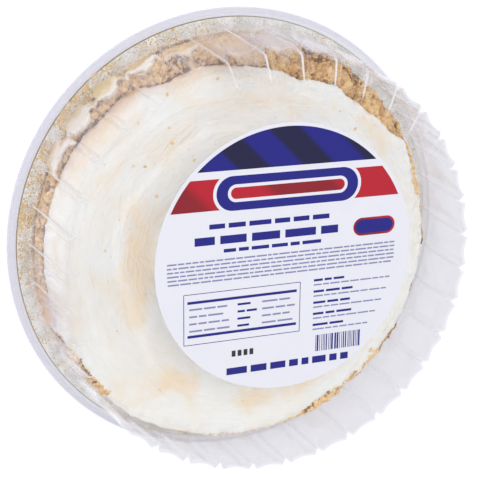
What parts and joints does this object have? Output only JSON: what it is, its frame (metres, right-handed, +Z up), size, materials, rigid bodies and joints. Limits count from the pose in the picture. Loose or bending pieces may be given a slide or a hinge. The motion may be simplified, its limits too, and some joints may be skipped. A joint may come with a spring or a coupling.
{
  "type": "lemon meringue pie",
  "caption": "Round meringue-topped pie with a crumb crust in a shallow foil pan, under a tall clear fluted dome lid with a round paper label on its flat top.",
  "frame": {"origin": "middle of the pan's flat base, on its underside", "axes": "+Z up along the pie's axis; +X along the label's lines of print, to the right; +Y towards the label's upper edge"},
  "size_m": [0.264, 0.264, 0.1032],
  "materials": {
    "foil": "bright rolled foil",
    "crumb": "baked crumb, golden brown",
    "cream": "whipped, soft sheen",
    "clear_sheet": "clear thermoformed sheet",
    "paper": "coated paper with a printed design"
  },
  "bodies": {
    "root": {"foil_pan": "foil", "crust": "crumb", "topping": "cream", "dome_lid": "clear_sheet", "label": "paper"}
  },
  "joints": []
}
